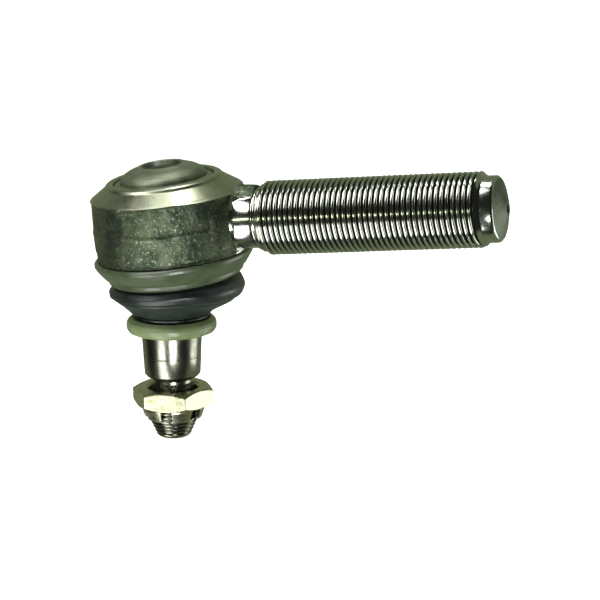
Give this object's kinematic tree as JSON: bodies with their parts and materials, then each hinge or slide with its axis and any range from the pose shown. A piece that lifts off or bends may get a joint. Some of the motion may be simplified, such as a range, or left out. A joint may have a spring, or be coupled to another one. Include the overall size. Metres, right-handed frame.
{
  "type": "tie rod end",
  "caption": "Steering ball joint: a forged eye on a threaded shank, with a swivelling taper stud, rubber boot and castle nut.",
  "frame": {"origin": "the ball centre, on the shank's axis, which is the point that the tie rod's length is measured to", "axes": "+X along the threaded shank towards its end, +Z along the eye's axis towards the end cap, so the stud hangs towards -Z"},
  "size_m": [0.1586, 0.0592, 0.1038],
  "materials": {
    "forged_steel": "rough forged scale, oiled",
    "pressed_steel": "satin",
    "turned_steel": "bright turned",
    "spring_steel": "dark oiled",
    "yellow_zinc": "yellow zinc plate",
    "olive_plastic": "satin",
    "seat_plastic": "satin",
    "boot_rubber": "satin"
  },
  "bodies": {
    "eye": {"housing": "forged_steel", "end_cap": "pressed_steel", "cap_seal_ring": "boot_rubber", "preload_spring": "spring_steel", "boot_collar": "olive_plastic"},
    "lower_seat": {"lower_ball_seat": "seat_plastic"},
    "boot_end": {"stud_seal_ring": "olive_plastic", "boot_lower_ring": "spring_steel", "boot": "boot_rubber"},
    "stud": {"ball_stud": "turned_steel"},
    "nut": {"castle_nut": "yellow_zinc"},
    "upper_seat": {"upper_ball_seat": "seat_plastic", "spring_plate": "pressed_steel"}
  },
  "joints": [
    {"name": "swing_plane", "type": "hinge", "parent": "eye", "child": "lower_seat", "pos_m": [0, 0, 0], "axis": [0, 0, 1], "continuous": true},
    {"name": "stud_swing", "type": "hinge", "parent": "lower_seat", "child": "boot_end", "pos_m": [0, 0, 0], "axis": [-0.5, 0.866, 0], "range_deg": [-24.5, 11.5], "deforming": ["boot"]},
    {"name": "stud_spin", "type": "hinge", "parent": "boot_end", "child": "stud", "pos_m": [0, 0, 0], "axis": [0.098, 0.0566, 0.9936], "continuous": true},
    {"name": "nut_turn", "type": "hinge", "parent": "stud", "child": "nut", "pos_m": [0, 0, 0], "axis": [0.098, 0.0566, 0.9936], "continuous": true},
    {"name": "seat_preload", "type": "slide", "parent": "eye", "child": "upper_seat", "axis": [0, 0, 1], "range_m": [0, 0.0006], "stiffness_N_per_m": 20000, "deforming": ["preload_spring"]}
  ]
}
